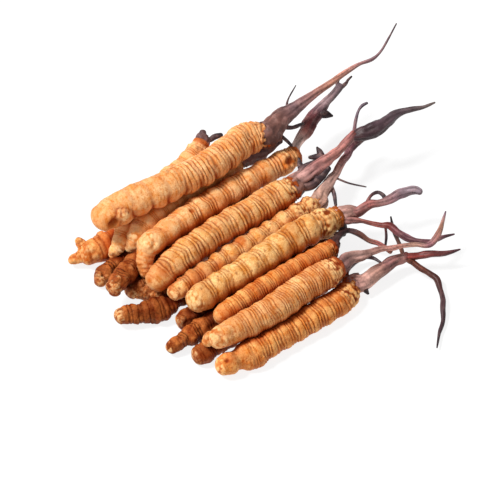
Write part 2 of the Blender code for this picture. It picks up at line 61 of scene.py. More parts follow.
# ---- the larvae
RING_STEP = 0.118   # spacing of the skin's rings
SKIN_SIDES = 60     # points round a skin
TAIL_ROUND = 0.9    # length of the rounded tail, as a share of its radius
HEAD_ROUND = 0.6    # length of the rounded head end, as a share of its radius
HEAD_TAPER = 0.14   # how much thinner a body gets over its last millimetres
RIM = (-1.0, 0.2)   # where the dark rim of the head begins and is full, from its end
LOBE_ANGLE = -22    # angle about a body of the lobes along its lower flank
PORE_ANGLE = 20     # angle of the row of pores, one in each segment
PORE = 0.22         # radius of a pore
PORE_RAISED = 0.5   # radius of the raised ring round it
PORE_RINGED = 0.75  # radius of the dark ring round that
ARCS_OVER = 0.8     # a knob paler than this has two dark arcs
REACH = 2.0         # how far the painted shade reaches from where two bodies touch
NUB_SIDES = 28      # points round a nub
NUB_RINGS = 0.9     # spacing of the rings round a nub
SMALLEST = 0.02     # least radius of a ring of skin

# ---- the stromata
STROMA_STEP = 0.22  # spacing of the rings of a stroma
STEM_SIDES = 32     # points round a stem or limb
TWIG_SIDES = 16     # points round a twig
ROOT_DEPTH = 1.2    # how far a stem's root is sunk in the head
ROOT_FLARE = 0.22   # how much wider it is there, as a share of its radius
ROOT_END = 4.5      # how far from its root a stem is crumbly


# ---- randomness
def hashed(cell, seed):
    """A number from 0 to 1 for each whole-numbered cell: the fraction of a large sine of its place."""
    value = np.sin(cell @ np.array((12.9898, 78.233, 37.719)) + seed * 4.137) * 43758.5453
    return value - np.floor(value)


def soft_noise(points, size, seed):
    """Smooth field from -1 to 1: random values at the corners of cells of that size, eased between."""
    place = points / size
    cell = np.floor(place)
    part = place - cell
    ease = part * part * (3 - 2 * part)
    total = np.zeros(points.shape[:-1])
    for corner in product((0, 1), repeat=3):
        weight = np.where(np.array(corner) == 1, ease, 1 - ease).prod(axis=-1)
        total += weight * hashed(cell + corner, seed)
    return 2 * total - 1


def pebbles(points, size, seed):
    """Distance to the nearest of one random point in each cell, in cells: 0 on it, about 0.8 between."""
    place = points / size
    cell = np.floor(place)
    nearest = np.full(points.shape[:-1], 9.0)
    for step in product((-1, 0, 1), repeat=3):
        beside = cell + step
        spot = beside + np.stack([hashed(beside, seed + n) for n in range(3)], axis=-1)
        nearest = np.minimum(nearest, np.linalg.norm(place - spot, axis=-1))
    return nearest


def rise(low, high, value):
    """0 below low, 1 above high, eased between."""
    part = np.clip((value - low) / (high - low), 0, 1)
    return part * part * (3 - 2 * part)


def wrapped(angle):
    """The same angle between minus and plus half a turn."""
    return (angle + math.pi) % (2 * math.pi) - math.pi


# ---- paths
def path_length(points):
    """Distance along a path at each of its points."""
    steps = np.linalg.norm(np.diff(points[:, :3], axis=0), axis=1)
    return np.concatenate([[0], np.cumsum(steps)])


def smooth_path(points, step):
    """Points every step along a smooth cubic through the given ones; more columns go along."""
    points = np.array(points, float)
    padded = np.vstack([2 * points[0] - points[1], points, 2 * points[-1] - points[-2]])
    t = np.linspace(0, 1, 40, endpoint=False)[:, None]
    pieces = []
    for a, b, c, d in zip(padded, padded[1:], padded[2:], padded[3:]):
        pieces.append(0.5 * (2 * b + (c - a) * t + (2 * a - 5 * b + 4 * c - d) * t ** 2
                             + (3 * b - a - 3 * c + d) * t ** 3))
    pieces.append(points[-1:])
    dense = np.vstack(pieces)
    run = path_length(dense)
    even = np.linspace(0, run[-1], max(3, int(run[-1] / step) + 1))
    return np.column_stack([np.interp(even, run, column) for column in dense.T])


def unit(way):
    """A direction with length one."""
    return way / np.linalg.norm(way)


def round_tipped(points, step, turn, tip_share):
    """A smooth path that ends in a round tip: its middles, radii, distances along it, length and end.

    turn holds the angles of the tip's rings; it is tip_share of the last radius long.
    """
    path = smooth_path(points, step)
    run = path_length(path)
    way = unit(path[-1, :3] - path[-2, :3])
    size = path[-1, 3]
    past = tip_share * size * np.cos(turn)
    middle = np.vstack([path[:, :3], path[-1, :3] + np.outer(past, way)])
    radius = np.concatenate([path[:, 3], size * np.sin(turn)])
    return middle, radius, np.append(run, run[-1] + past), run[-1], path[-1, :3] + way * tip_share * size


def frames(line):
    """Two directions across a path at each point, turning with it as little as can be."""
    forward = np.gradient(line, axis=0)
    forward /= np.linalg.norm(forward, axis=1)[:, None]
    sides = [unit(np.cross(forward[0], (0, 0, 1)))]
    for direction in forward[1:]:
        sides.append(unit(sides[-1] - direction * sides[-1].dot(direction)))
    sides = np.array(sides)
    return sides, np.cross(sides, forward)


# ---- meshes
def round_skin(line, radius):
    """Points of a tube: each ring's middle plus radius (ring, point) outwards at even angles."""
    side, up = frames(line)
    angle = np.linspace(0, 2 * math.pi, radius.shape[1], endpoint=False)
    outward = (np.cos(angle)[None, :, None] * side[:, None, :]
               + np.sin(angle)[None, :, None] * up[:, None, :])
    return line[:, None, :] + radius[..., None] * outward


def tube_faces(count, sides, start):
    """Faces of a tube of rings with a pole at each end, its points numbered from start."""
    ring = np.arange(count - 1)[:, None] * sides
    corner = np.arange(sides)[None, :]
    beside = (corner + 1) % sides
    quads = np.stack([ring + corner, ring + sides + corner, ring + sides + beside, ring + beside],
                     axis=-1).reshape(-1, 4) + start
    first = start + count * sides
    last_ring = start + (count - 1) * sides
    corner, beside = corner[0], beside[0]
    caps = [(first, start + a, start + b) for a, b in zip(corner, beside)]
    caps += [(first + 1, last_ring + b, last_ring + a) for a, b in zip(corner, beside)]
    return quads.tolist() + caps


def add_piece(name, parts, material):
    """One object made of closed tubes, in place of the solid of the same name.

    Each part is a tube, (rings of points, first pole, last pole), and its marks, which
    map an attribute's name to a value for each ring point.
    """
    points, faces = [], []
    values = {key: [] for key in parts[0][1]}
    for (rings, first, last), marks in parts:
        start = sum(len(chunk) for chunk in points)
        faces += tube_faces(rings.shape[0], rings.shape[1], start)
        points.append(np.vstack([rings.reshape(-1, 3), first, last]))
        for key, value in marks.items():
            flat = value.reshape(rings.shape[0] * rings.shape[1], -1)
            ends = [value[0].reshape(rings.shape[1], -1).mean(axis=0),
                    value[-1].reshape(rings.shape[1], -1).mean(axis=0)]
            values[key].append(np.vstack([flat, ends]))
    points = np.vstack(points)
    points[:, 2] = np.maximum(points[:, 2], 0)
    mesh = bpy.data.meshes.new(name)
    mesh.from_pydata((points * MM).tolist(), [], faces)
    for key, chunks in values.items():
        value = np.vstack(chunks)
        if value.shape[1] == 1:
            store = mesh.attributes.new(key, "FLOAT", "POINT")
            store.data.foreach_set("value", value.ravel())
        else:
            store = mesh.attributes.new(key, "FLOAT_COLOR", "POINT")
            store.data.foreach_set("color", np.hstack([value, np.ones((len(value), 1))]).ravel())
    mesh.shade_smooth()
    mesh.materials.append(material)
    piece = bpy.data.objects.new(name + "_skin", mesh)
    bpy.context.scene.collection.objects.link(piece)
    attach(piece, "root")
    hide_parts(name)
    return piece


# ---- materials
def linear(code):
    """Linear colour of an sRGB hex code."""
    value = np.array([int(code[n:n + 2], 16) for n in (1, 3, 5)]) / 255
    return np.where(value <= 0.04045, value / 12.92, ((value + 0.055) / 1.055) ** 2.4)


def paint(code):
    """The same with an alpha of one, for a socket."""
    return (*linear(code), 1.0)


def node(tree, kind, links=(), **settings):
    """Add a node. A setting names a property, or an input as in_Name or in_2; links are (input, output)."""
    made = tree.nodes.new(kind)
    for key, value in settings.items():
        if key.startswith("in_"):
            name = key[3:].replace("_", " ")
            made.inputs[int(name) if name.isdigit() else name].default_value = value
        else:
            setattr(made, key, value)
    for name, source in links:
        tree.links.new(source, made.inputs[name])
    return made


def new_material(name, constants, patterns=()):
    """A material with a Principled shader with those constants, its tree, and noise on the piece.

    Each pattern is the size of a noise's lumps in millimetres, and its detail.
    """
    material = bpy.data.materials.new(name)
    material.use_nodes = True
    tree = material.node_tree
    shader = tree.nodes["Principled BSDF"]
    for key, value in constants.items():
        shader.inputs[key].default_value = value
    place = node(tree, "ShaderNodeTexCoord").outputs["Object"]
    noises = [node(tree, "ShaderNodeTexNoise", [("Vector", place)], in_Scale=1 / (size * MM),
                   in_Detail=detail, in_Roughness=0.55).outputs["Fac"] for size, detail in patterns]
    return material, tree, shader, noises


def layer(tree, under, mask, tone, low=0.0, high=1.0, most=1.0):
    """A tone over a colour: none of it where the mask is low, and most of it where it is high.

    The tone and the colour under it are hex codes or outputs.
    """
    share = node(tree, "ShaderNodeMapRange", [("Value", mask)], in_From_Min=low, in_From_Max=high,
                 in_To_Max=most)
    mix = node(tree, "ShaderNodeMix", [(0, share.outputs["Result"])], data_type="RGBA")
    for socket, colour in ((mix.inputs[6], under), (mix.inputs[7], tone)):
        if isinstance(colour, str):
            socket.default_value = paint(colour)
        else:
            tree.links.new(colour, socket)
    return mix.outputs[2]


def coat(tree, shader, colour, height, strength, depth):
    """Give a shader its colour, and a bump of that depth in millimetres."""
    tree.links.new(colour, shader.inputs["Base Color"])
    bump = node(tree, "ShaderNodeBump", [("Height", height)], in_Strength=strength, in_Distance=depth * MM)
    tree.links.new(bump.outputs["Normal"], shader.inputs["Normal"])


def dried_skin(name, light, middle, deep, crease):
    """Dried larval skin: thin, slightly waxy hide, mottled, pale where it crumbles, darker in its folds
    partly as painted shade; painted shade on its underside and where it touches another body, and painted
    highlights on its ridges.
    """
    material, tree, shader, (blotch, mottle, grain) = new_material(
        name, {"IOR": 1.45, "Specular IOR Level": 0.2, "Specular Tint": paint(WAXY_SHEEN)},
        ((1.9, 3),    # soft patches a few folds wide
         (0.7, 3),    # mottling as wide as a fold
         (0.3, 2)))   # the skin's grain, as fine as the picture shows
    painted_highlight, ruddy, pale, dark, pit, shade = (
        node(tree, "ShaderNodeAttribute", attribute_name=mark).outputs["Fac"]
        for mark in ("painted_highlight", "ruddy", "pale", "crease", "pit", "shade"))
    chalk = layer(tree, CHALK, mottle, light, 0.4, 0.6)
    colour = layer(tree, middle, blotch, light, 0.38, 0.64)
    # from the lowest up: mask, tone, where it begins, where it is full, how much it covers
    for mask, tone, low, high, most in (
            (mottle, deep, 0.5, 0.74, 0.65), (grain, deep, 0.52, 0.66, 0.65), (grain, light, 0.45, 0.3, 0.4),
            # painted_highlight paints light on the ridge tops; ruddy holds real stains and painted shade on
            # the underside
            (painted_highlight, light, 0, 1, 0.55), (ruddy, deep, 0, 1, 0.75), (pale, chalk, 0, 1, 0.85),
            # the crease mask darkens folds, clefts and waists: partly painted shade
            (dark, crease, 0, 1, 0.9), (pit, crease, 0, 1, 0.8),
            # painted shade where the body lies against another
            (shade, deep, 0, 0.7, 0.7), (shade, crease, 0.6, 1, 0.5)):
        colour = layer(tree, colour, mask, tone, low, high, most)
    dull = node(tree, "ShaderNodeMapRange", [("Value", mottle)], in_From_Min=0.3, in_From_Max=0.7,
                in_To_Min=0.45, in_To_Max=0.65)
    tree.links.new(dull.outputs["Result"], shader.inputs["Roughness"])
    coat(tree, shader, colour, grain, 0.6, 0.16)
    return material


def dried_stroma(name, roughness, dusty):
    """Dried fungus stalk: matt, leathery, streaked lengthwise, its tone carried by the piece."""
    material, tree, shader, (grain, dust) = new_material(
        name, {"Roughness": roughness, "Specular IOR Level": 0.35}, ((0.5, 3), (1.3, 3)))
    tone = node(tree, "ShaderNodeAttribute", attribute_name="tone").outputs["Color"]
    furrows = node(tree, "ShaderNodeAttribute", attribute_name="crease").outputs["Fac"]
    colour = layer(tree, tone, dust, STALK_DUST, 0.5, 0.7, dusty)
    colour = layer(tree, colour, grain, STALK_GRAIN, 0.5, 0.7, 0.4)
    colour = layer(tree, colour, furrows, STALK_FURROWS)
    coat(tree, shader, colour, grain, 0.4, 0.12)
    return material


# ---- the larvae
@dataclass
class Hide:
    """How one larva looks. A segment is a plain band and then narrow folds; sizes are in millimetres."""

    skin: str             # which of SKINS
    seed: int             # for its noise
    folds: int = 3        # folds in a segment
    plain: float = 0.4    # the plain band's share of a segment
    depth: float = 0.2    # of the folds
    groove: float = 0.15  # depth of the waist between two segments
    lobes: float = 0.0    # height of the lobes along the flank
    segments: int = 11
    start: float = 0.0    # where the folds fade in, as a share of the length
    fat: float = 1.1      # how much fuller the skin is than the solid's ring
    pale: tuple = (0.1, 0.08)  # share that is pale and crumbly at the tail and at the head
    pits: float = 0.3     # how strong the small pits are
    ruddy: float = 0.7    # how much of it is stained red-brown
    dark: float = 0.0     # how much painted shade darkens and reddens the underside
    lumpy: float = 0.08   # height of odd lumps all over
    shaded: float = 1.0   # how dark the painted shade is where it lies against another body
    nubs: float = 0.0     # how red-brown its tail nubs are
    profile: tuple = ((0, 1), (1, 1))  # swellings and waists: (share of the length, factor)
    stains: tuple = ()    # red-brown stretches: (from, to, strength), as shares of the length
    bumps: tuple = ()     # knobs, or holes: (along, angle, radius, height, paleness)


def brown_hide(seed, **own):
    """A brown lower larva: two broad folds in a segment, deep waists, lumps and pits."""
    usual = dict(folds=2, plain=0.6, depth=0.16, groove=0.3, fat=1.24, pale=(0.03, 0.05), pits=0.9,
                 dark=0.5, lumpy=0.3)
    return Hide("brown", seed, **{**usual, **own})


# An angle about a body is 0 to the front and 90 up.
LARVAE = {
    "larva_01": Hide(
        "orange", 1, 3, 0.4, 0.32, 0.14, 0.12, segments=10, start=0.16, fat=1.14, pale=(0, 0.17), pits=0.5,
        profile=((0, 1), (0.05, 1.04), (0.1, 0.86), (0.18, 1.08), (0.4, 1.03), (1, 1)),
        stains=((0.08, 0.13, 0.6), (0.8, 0.86, 0.6)),
        bumps=((0.6, 70, 0.5, -0.3, 0), (2.4, 95, 1, 0.25, 0), (7.5, -35, 4, 0.6, 0),
            (35, -35, 4, 0.5, 0), (24, 140, 3.5, 0.3, 0), (29, 140, 3.5, 0.3, 0))),
    "larva_02": brown_hide(2, groove=0.25, fat=1.12, pale=(0, 0.05), pits=0.3, dark=0.6, lumpy=0.2,
        profile=((0, 1.08), (0.06, 1.08), (0.13, 0.82), (0.2, 0.98), (1, 1.05)),
        stains=((-0.1, 0.08, 0.5),)),
    "larva_03": brown_hide(3, fat=1.16, pale=(0, 0.05), pits=0.3, dark=0.8,
        profile=((0, 0.74), (0.07, 0.78), (0.13, 0.9), (0.22, 1.04), (1, 1)),
        bumps=((-0.8, 100, 0.8, 0.3, 0.3), (2.6, 60, 1.2, 0.5, 0.1), (4.6, 20, 1.2, 0.5, 0),
            (6.5, 80, 1.4, 0.5, 0))),
    "larva_04": brown_hide(4, pale=(0, 0.05), pits=0.3, lumpy=0.25,
        bumps=((-0.4, 70, 1.2, 0.5, 0.3), (0.6, 10, 1.2, 0.6, 0.1), (3, 40, 1.4, 0.5, 0.1))),
    "larva_05": brown_hide(5, folds=1, depth=0.2, groove=0.2, segments=17, fat=1.12, pits=0.5, dark=0.6,
        profile=((0, 0.86), (0.04, 0.88), (0.1, 0.78), (0.2, 0.96), (0.34, 0.98), (1, 1)),
        stains=((0.1, 0.4, 0.6),), bumps=((9.5, -32, 4, 0.8, 0), (4.5, -35, 2.5, 0.4, 0))),
    "larva_06": brown_hide(6, ruddy=0.5,
        bumps=((-1.2, 70, 1.2, 0.4, 0.7), (2.2, 60, 1.5, 0.6, 0.3), (4.6, 40, 1.5, 0.5, 0))),
    "larva_07": brown_hide(7, pale=(0.02, 0.05), ruddy=0.9, dark=0.8,
        bumps=((-0.6, 80, 0.8, 0.4, 0.5), (0.6, 30, 0.8, 0.4, 0.4), (2.5, 70, 1.3, 0.5, 0))),
    "larva_08": Hide("orange", 8, 1, 0.7, 0.16, 0.2, pale=(0, 0.05), pits=0.6, dark=0.6, lumpy=0.15,
        profile=((0, 1.14), (0.04, 1), (0.12, 1.2), (0.2, 1.06), (1, 1)), stains=((0.06, 0.4, 0.9),),
        bumps=((0.4, 70, 1.6, 0.2, 0.7), (1.2, 20, 1.2, 0.3, 0.6))),
    "larva_09": brown_hide(9, fat=1.26, ruddy=0.4,
        bumps=((-0.8, 60, 0.9, 0.4, 0.7), (0.9, 80, 1.1, 0.5, 0.6), (3, 50, 1.4, 0.5, 0.2),
            (6.5, 60, 1.5, 0.4, 0.2))),
    "larva_10": Hide(
        "rose", 10, 4, 0.3, 0.28, 0.1, 0.12, segments=9, start=0.16, fat=1.14, pale=(0.06, 0.12), ruddy=0.35,
        profile=((0, 0.97), (0.15, 0.92), (0.35, 1), (1, 1)), stains=((0.72, 0.9, 0.5), (0.11, 0.14, 0.6)),
        bumps=((-1, 60, 1.1, 0.5, 0.5), (0.4, 20, 1.3, 0.4, 0.4), (2.4, 70, 1.4, 0.3, 0.3))),
    "larva_11": Hide(
        "orange", 11, 3, 0.42, 0.34, 0.16, start=0.06, fat=1.16, pale=(0, 0.04), ruddy=0.6, dark=0.1,
        shaded=0.5,
        stains=((0.5, 1, 0.6),)),
    "larva_12": Hide(
        "cream", 12, 2, 0.64, 0.3, 0.3, 0.12, segments=9, pale=(0.03, 0.17), pits=0.8, ruddy=0.6,
        stains=((0.97, 1.1, 1),), bumps=((-1.9, 36, 1.6, 0.5, 0.8), (1.5, 100, 1, 0.3, 0.3))),
    "larva_13": Hide(
        "tan", 13, 2, 0.68, 0.24, 0.5, fat=1.43, pale=(0, 0.2), pits=0.8, ruddy=0.9, shaded=0.45,
        profile=((0, 0.85), (0.05, 0.84), (0.11, 1), (1, 1)), stains=((0.97, 1.1, 0.9),),
        bumps=((-1.2, 30, 1.4, 0.5, 0.7),)),
    "larva_14": Hide(
        "tan", 14, 3, 0.4, 0.4, 0.18, 0.12, segments=9, start=0.02, fat=1.15, pale=(0, 0.08), ruddy=0.35,
        stains=((-0.1, 0.09, 0.9),)),
    "larva_15": Hide(
        "yellow", 15, 3, 0.52, 0.28, 0.3, 0.15, segments=9, start=0.2, fat=1.14, pale=(0.08, 0.1), pits=0.5,
        ruddy=0.5, nubs=0.8,
        stains=((0.93, 1.1, 0.6),),
        bumps=((13.7, 72, 0.6, -0.3, 0), (44.3, 45, 1.5, -0.5, 0), (43, 20, 1, 0.5, 0.1),
            (-0.8, 60, 1.4, 0.3, 0.7), (1.4, 100, 1.3, 0.25, 0.5), (0.8, 20, 1.5, 0.3, 0.5))),
    "larva_16": Hide("pale", 16, 2, 0.7, 0.16, 0.2, fat=1.28, pale=(0.05, 0.08), ruddy=0.4, shaded=0.6,
        profile=((0, 1), (0.6, 1), (0.78, 0.86), (0.9, 0.97), (1, 1)), stains=((0.4, 1, 0.6),),
        bumps=((1.2, 50, 1.3, 0.5, 0.6), (33, 100, 1.6, 0.5, 0.3))),
    "larva_17": Hide("pale", 17, 2, 0.76, 0.1, 0.14, fat=1.16, pale=(0.04, 0.05), ruddy=0.15, shaded=0.7,
        profile=((0, 1.25), (0.1, 1.28), (0.4, 1.15), (1, 1))),
    "larva_18": Hide(
        "yellow", 18, 3, 0.26, 0.34, 0.12, 0.45, start=0.4, pale=(0, 0.07), ruddy=0.35, shaded=0.9,
        stains=((0.94, 1.1, 0.4), (-0.1, 0.02, 0.8)),
        bumps=((4.1, 24, 2.1, 1, 0.9), (4.4, 30, 0.9, 0.3, 0.5), (1.3, 10, 1.5, -1.4, 0),
            (-1.4, -10, 1.5, 0.3, 0), (7.5, 20, 1.2, 0.3, 0.3), (17.2, 112, 1.1, 0.5, 0),
            (9, 116, 1.3, 0.3, 0), (41, 106, 4, 0.5, 0), (46, 50, 0.9, 0.5, 0.3),
            (45.4, 20, 1, 0.6, 0.2))),
}

# Finishes: the record's slot, light, middle and deep tones, and the colour in the folds.
SKINS = {
    "orange": ("dried_skin_orange", "#F4B26A", "#DA7C2E", "#AE4008", "#701602"),
    "rose": ("dried_skin_tan", "#F5BE80", "#DD8E44", "#B44A0E", "#781C02"),
    "yellow": ("dried_skin_tan", "#FAC88E", "#EC9C54", "#CE6818", "#902C02"),
    # pale is a lighter copy of yellow, painted light for larvae lying in the shade of others
    "pale": ("dried_skin_tan", "#FCD49C", "#F4B068", "#DC7C2C", "#A03C0C"),
    "tan": ("dried_skin_tan", "#F7C686", "#DF9446", "#B64C0C", "#781E02"),
    "cream": ("dried_skin_cream", "#F7C886", "#DC9040", "#B45A12", "#7A2602"),
    # brown is the lower larvae's own tone, made darker in part as painted shade for lying under the others
    "brown": ("dried_skin_brown", "#CA763A", "#963E12", "#5A1202", "#280500"),
}
CHALK = "#F9D095"  # the crumbly ends
WAXY_SHEEN = "#FFD09A"

# Nubs and lobes at the tail: points (forward, left, up, radius) from the tail's end.
TAIL_NUBS = {
    "larva_06": [[(1.5, -0.5, 0, 2.2), (3.2, -3, -0.2, 2.3), (4.6, -5.4, -0.3, 2.2),
                  (6.5, -7.3, -0.3, 1.9)]],
    "larva_07": [[(0.5, 0, 0, 1.6), (-0.4, -0.6, -0.3, 1.6)]],
    "larva_08": [[(0, 0.5, 0.5, 1.4), (-0.3, 1.8, 1.8, 1.25), (-0.5, 2.4, 2.6, 0.9)],
                 [(-0.5, 0, -0.2, 1.7), (-2.2, 0.6, -0.5, 1.45), (-3.4, 1, -0.8, 1.1)]],
    "larva_09": [[(0.5, 0, 0, 1.5), (-0.3, -0.6, -0.3, 1.5)]],
    "larva_10": [[(0.5, 0.4, 0, 1.7), (-0.8, 1.3, -0.2, 1.6), (-1.5, 1.6, -1.2, 1.3)]],
    "larva_15": [[(0.3, 0, -0.8, 2.3), (-1.2, -1, -2.4, 2.1), (-1.9, -1.9, -3.8, 1.8),
                  (-2.2, -2.5, -4.8, 1.5)]],
    "larva_16": [[(0.3, 0, 0, 1.7), (-0.9, 0.2, -0.9, 1.5), (-1.4, 0.3, -2, 1)]],
    "larva_17": [[(0.3, 0, 0, 2.1), (-0.8, 0, -0.9, 1.8), (-1.4, 0.2, -1.8, 1.4)]],
}


def solid_rings(name):
    """Middles and radii of the rings of a larva's solid, from the tail to the head.

    Its corners are sorted along the line from the tail's end to the head's; from the
    head's pole backwards, every eight of them are one ring. The ring at the tail,
    which a nub may cut, is carried on from the next two.
    """
    mesh = frame["nodes"][name].data
    corners = np.empty(len(mesh.vertices) * 3)
    mesh.vertices.foreach_get("co", corners)
    corners = np.unique(corners.reshape(-1, 3).astype(np.float32), axis=0) / MM
    axis = corners[corners[:, 0].argmax()] - corners[corners[:, 0].argmin()]
    order = np.argsort(-(corners @ axis))[1:1 + SOLID_SIDES * SOLID_RINGS]
    rings = corners[order].reshape(SOLID_RINGS, SOLID_SIDES, 3)[::-1]
    middles = rings.mean(axis=1)
    sizes = np.median(np.linalg.norm(rings - middles[:, None], axis=2), axis=1) / SOLID_CORNERS_OUT
    bulges = sizes[0::2]
    middles = np.vstack([2 * middles[0] - middles[1], middles])
    return middles, bulges


def skin_stations(length, tail_radius, head_radius):
    """Distances of the rings along a larva: even on the body, closer together over its round ends."""
    turn = np.linspace(0.1, math.pi / 2, 12, endpoint=False)
    tail = -TAIL_ROUND * tail_radius * np.cos(turn)
    head = length + HEAD_ROUND * head_radius * np.cos(turn[::-1])
    body = np.linspace(0, length, int(length / RING_STEP) + 1)
    return np.concatenate([tail, body, head])


def body_form(name, look):
    """A larva's round form without relief: stations along it, its length, middle line, radii and closing.

    The radius runs smoothly through the solid's bulges, times the look's swellings,
    and closes over both ends as an ellipse does.
    """
    middles, bulges = solid_rings(name)
    line = smooth_path(middles, 0.1)
    run = path_length(line)
    length = run[-1]
    bulge_at = (np.arange(len(bulges)) + 0.5) / len(bulges) * length
    tail_radius, head_radius = bulges[0] * 0.85, bulges[-1] * 0.95
    along = skin_stations(length, tail_radius, head_radius)
    inside = np.clip(along, 0, length)
    before, past = np.clip(-along, 0, None), np.clip(along - length, 0, None)
    middle = np.column_stack([np.interp(inside, run, column) for column in line.T])
    middle += before[:, None] * unit(line[0] - line[3]) + past[:, None] * unit(line[-1] - line[-4])
    at = np.concatenate([[0], bulge_at, [length]])
    sizes = np.concatenate([[tail_radius], bulges, [head_radius]])
    size = smooth_path(np.column_stack([at, sizes, 0 * at]), 0.2)
    swelling = smooth_path([(share * length, factor, 0) for share, factor in look.profile], 0.2)
    base = look.fat * np.interp(inside, size[:, 0], size[:, 1])
    base *= np.interp(inside, swelling[:, 0], swelling[:, 1])
    base *= 1 - HEAD_TAPER * rise(length - 2.5, length, inside)
    closing = (np.sqrt(np.clip(1 - (before / (TAIL_ROUND * tail_radius)) ** 2, 0, 1))
               * np.sqrt(np.clip(1 - (past / (HEAD_ROUND * head_radius)) ** 2, 0, 1)))
    return along, length, middle, np.repeat((base * closing)[:, None], SKIN_SIDES, axis=1), closing


def build_larva(name, look, material, forms):
    """A larva's skin: its round form with folds, grooves, knobs and pits as relief, and its tail nubs."""
    along, length, middle, base, closing = body_form(name, look)
    place = round_skin(middle, base)
    relief, marks = skin_relief(look, along, length, base, place, closing)
    # painted shade where the larva lies against another body
    marks["shade"] = look.shaded * nearness(name, place, forms)
    rings = round_skin(middle, np.clip(base + relief, SMALLEST, None))
    first = rings[0].mean(axis=0) + (middle[0] - middle[1]) * 0.2
    last = rings[-1].mean(axis=0) + (middle[-1] - middle[-2]) * 0.2
    parts = [((rings, first, last), marks)]
    tail = solid_rings(name)[0][0]
    parts += [nub(points, tail, look.seed * 10 + number, look.nubs)
              for number, points in enumerate(TAIL_NUBS.get(name, []))]
    return add_piece(name, parts, material)


def nub(points, tail, seed, brown):
    """A blunt nub at a tail: a short tube from inside the body, lumpy and ringed, round at its tip."""
    points = np.array(points, float)
    points[:, :3] += tail
    turn = np.linspace(0.1, math.pi / 2, 8, endpoint=False)[::-1]
    middle, radius, along, _, _ = round_tipped(points, 0.1, turn, 1.0)
    base = np.repeat(radius[:, None], NUB_SIDES, axis=1)
    place = round_skin(middle, base)
    lumps = soft_noise(place, 0.9, seed)
    ring = np.abs(np.sin(math.pi * along / NUB_RINGS))[:, None] ** 0.6
    crumb = pebbles(place, 0.8, seed + 1)
    relief = 0.25 * lumps - 0.06 * (1 - ring) + 0.12 * (0.5 - crumb)
    relief *= (radius / radius.max())[:, None]
    rings = round_skin(middle, np.clip(base + relief, SMALLEST, None))
    marks = {"crease": np.clip(0.35 * (1 - ring) + 0.4 * rise(0.7, 0.9, crumb), 0, 1),
             "pale": np.clip(0.3 + 0.4 * lumps, 0, 1) * (1 - rise(0.45, 0.65, crumb)),
             "ruddy": np.maximum(brown, 0.8 * rise(0.2, -0.4, lumps))}
    marks.update({key: 0 * crumb for key in ("pit", "painted_highlight", "shade")})
    return (rings, middle[0], rings[-1].mean(axis=0)), marks


def nearness(name, place, forms):
    """How close each point of a body's round form is to another body: 1 where they touch, 0 from REACH on.

    The gap to another body is the distance to its middle line less its radius there.
    It is measured at every tenth ring and carried on evenly in between.
    """
    rows = np.unique(np.append(np.arange(0, len(place), 10), len(place) - 1))
    points = place[rows].reshape(-1, 3)
    gap = np.full(len(points), REACH)
    for other, (middle, radius) in forms.items():
        if other == name:
            continue
        for start in range(0, len(middle), 60):
            piece = slice(start, start + 60)
            away = np.linalg.norm(points[:, None] - middle[None, piece], axis=2) - radius[None, piece]
            gap = np.minimum(gap, away.min(axis=1))
    near = 1 - rise(0.1, 1, np.clip(gap, 0, REACH) / REACH).reshape(len(rows), -1)
    return np.stack([np.interp(np.arange(len(place)), rows, column) for column in near.T], axis=1)


